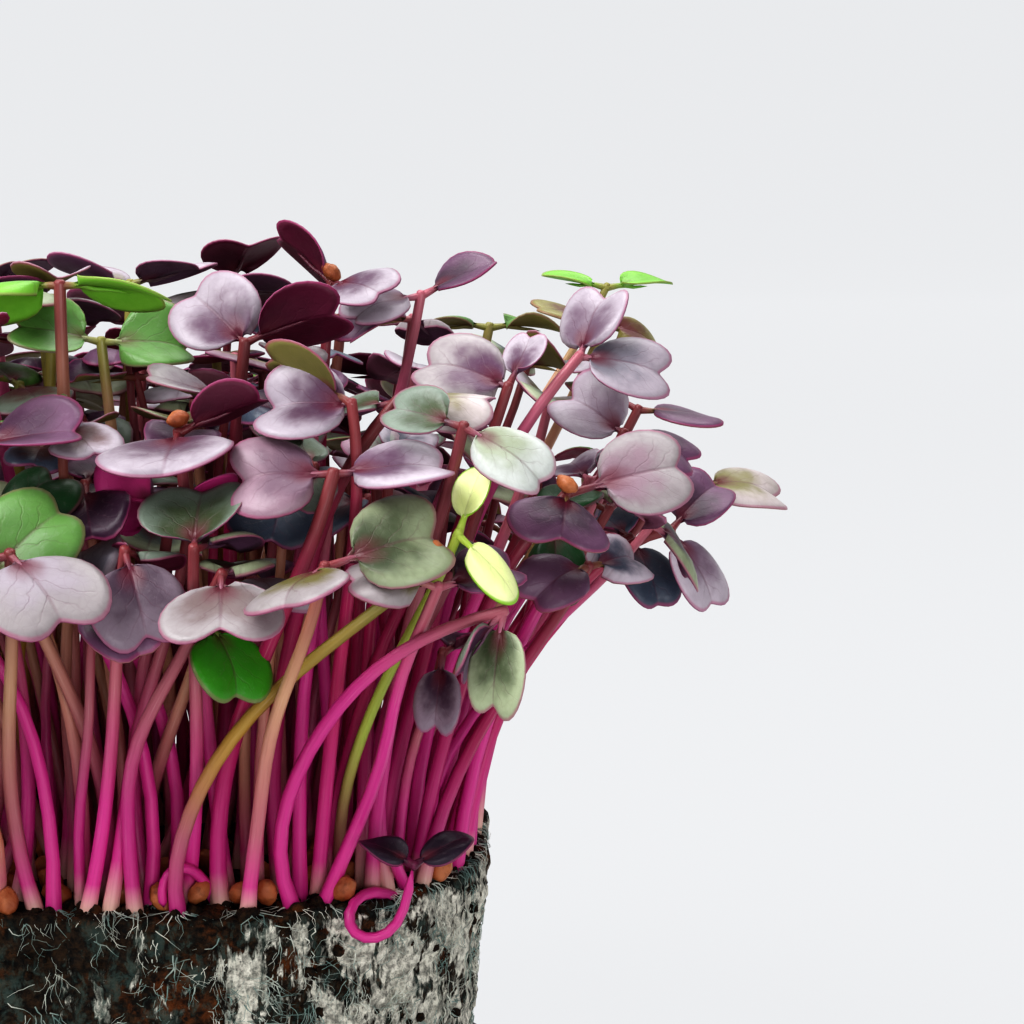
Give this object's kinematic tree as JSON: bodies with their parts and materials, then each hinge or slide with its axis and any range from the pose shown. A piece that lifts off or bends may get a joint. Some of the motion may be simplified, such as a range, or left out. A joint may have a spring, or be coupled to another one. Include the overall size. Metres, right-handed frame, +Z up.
{
  "type": "radish microgreens tray",
  "caption": "Radish microgreens with plum and green seed leaves on pink stems, standing in a rooted block of soil in a plain shallow tray.",
  "frame": {"origin": "centre of the tray's underside, on the surface it stands on", "axes": "+Z up, the front of the block faces -Y, its long side runs along X"},
  "size_m": [0.1574, 0.1355, 0.1268],
  "materials": {
    "plum": "satin",
    "green": "satin",
    "lime": "satin",
    "soil": "matte",
    "tray_plastic": "satin"
  },
  "bodies": {
    "root": {"green_sprout_06": "green", "green_sprout_07": "green", "green_sprout_08": "green", "green_sprout_09": "green", "green_sprout_10": "green", "green_sprout_12": "green", "green_sprout_13": "green", "green_sprout_14": "green", "green_sprout_15": "green", "green_sprout_16": "green", "lime_sprout_11": "lime", "plum_tuft_01": "plum", "plum_tuft_02": "plum", "plum_tuft_03": "plum", "plum_tuft_04": "plum", "plum_tuft_05": "plum", "plum_tuft_17": "plum", "plum_tuft_18": "plum", "plum_tuft_19": "plum", "plum_tuft_20": "plum", "plum_tuft_21": "plum", "plum_tuft_22": "plum", "plum_tuft_23": "plum", "plum_tuft_24": "plum", "plum_tuft_25": "plum", "plum_tuft_26": "plum", "plum_tuft_27": "plum", "plum_tuft_28": "plum", "plum_tuft_29": "plum", "plum_tuft_30": "plum", "plum_tuft_31": "plum", "soil_block": "soil", "tray": "tray_plastic"}
  },
  "joints": []
}
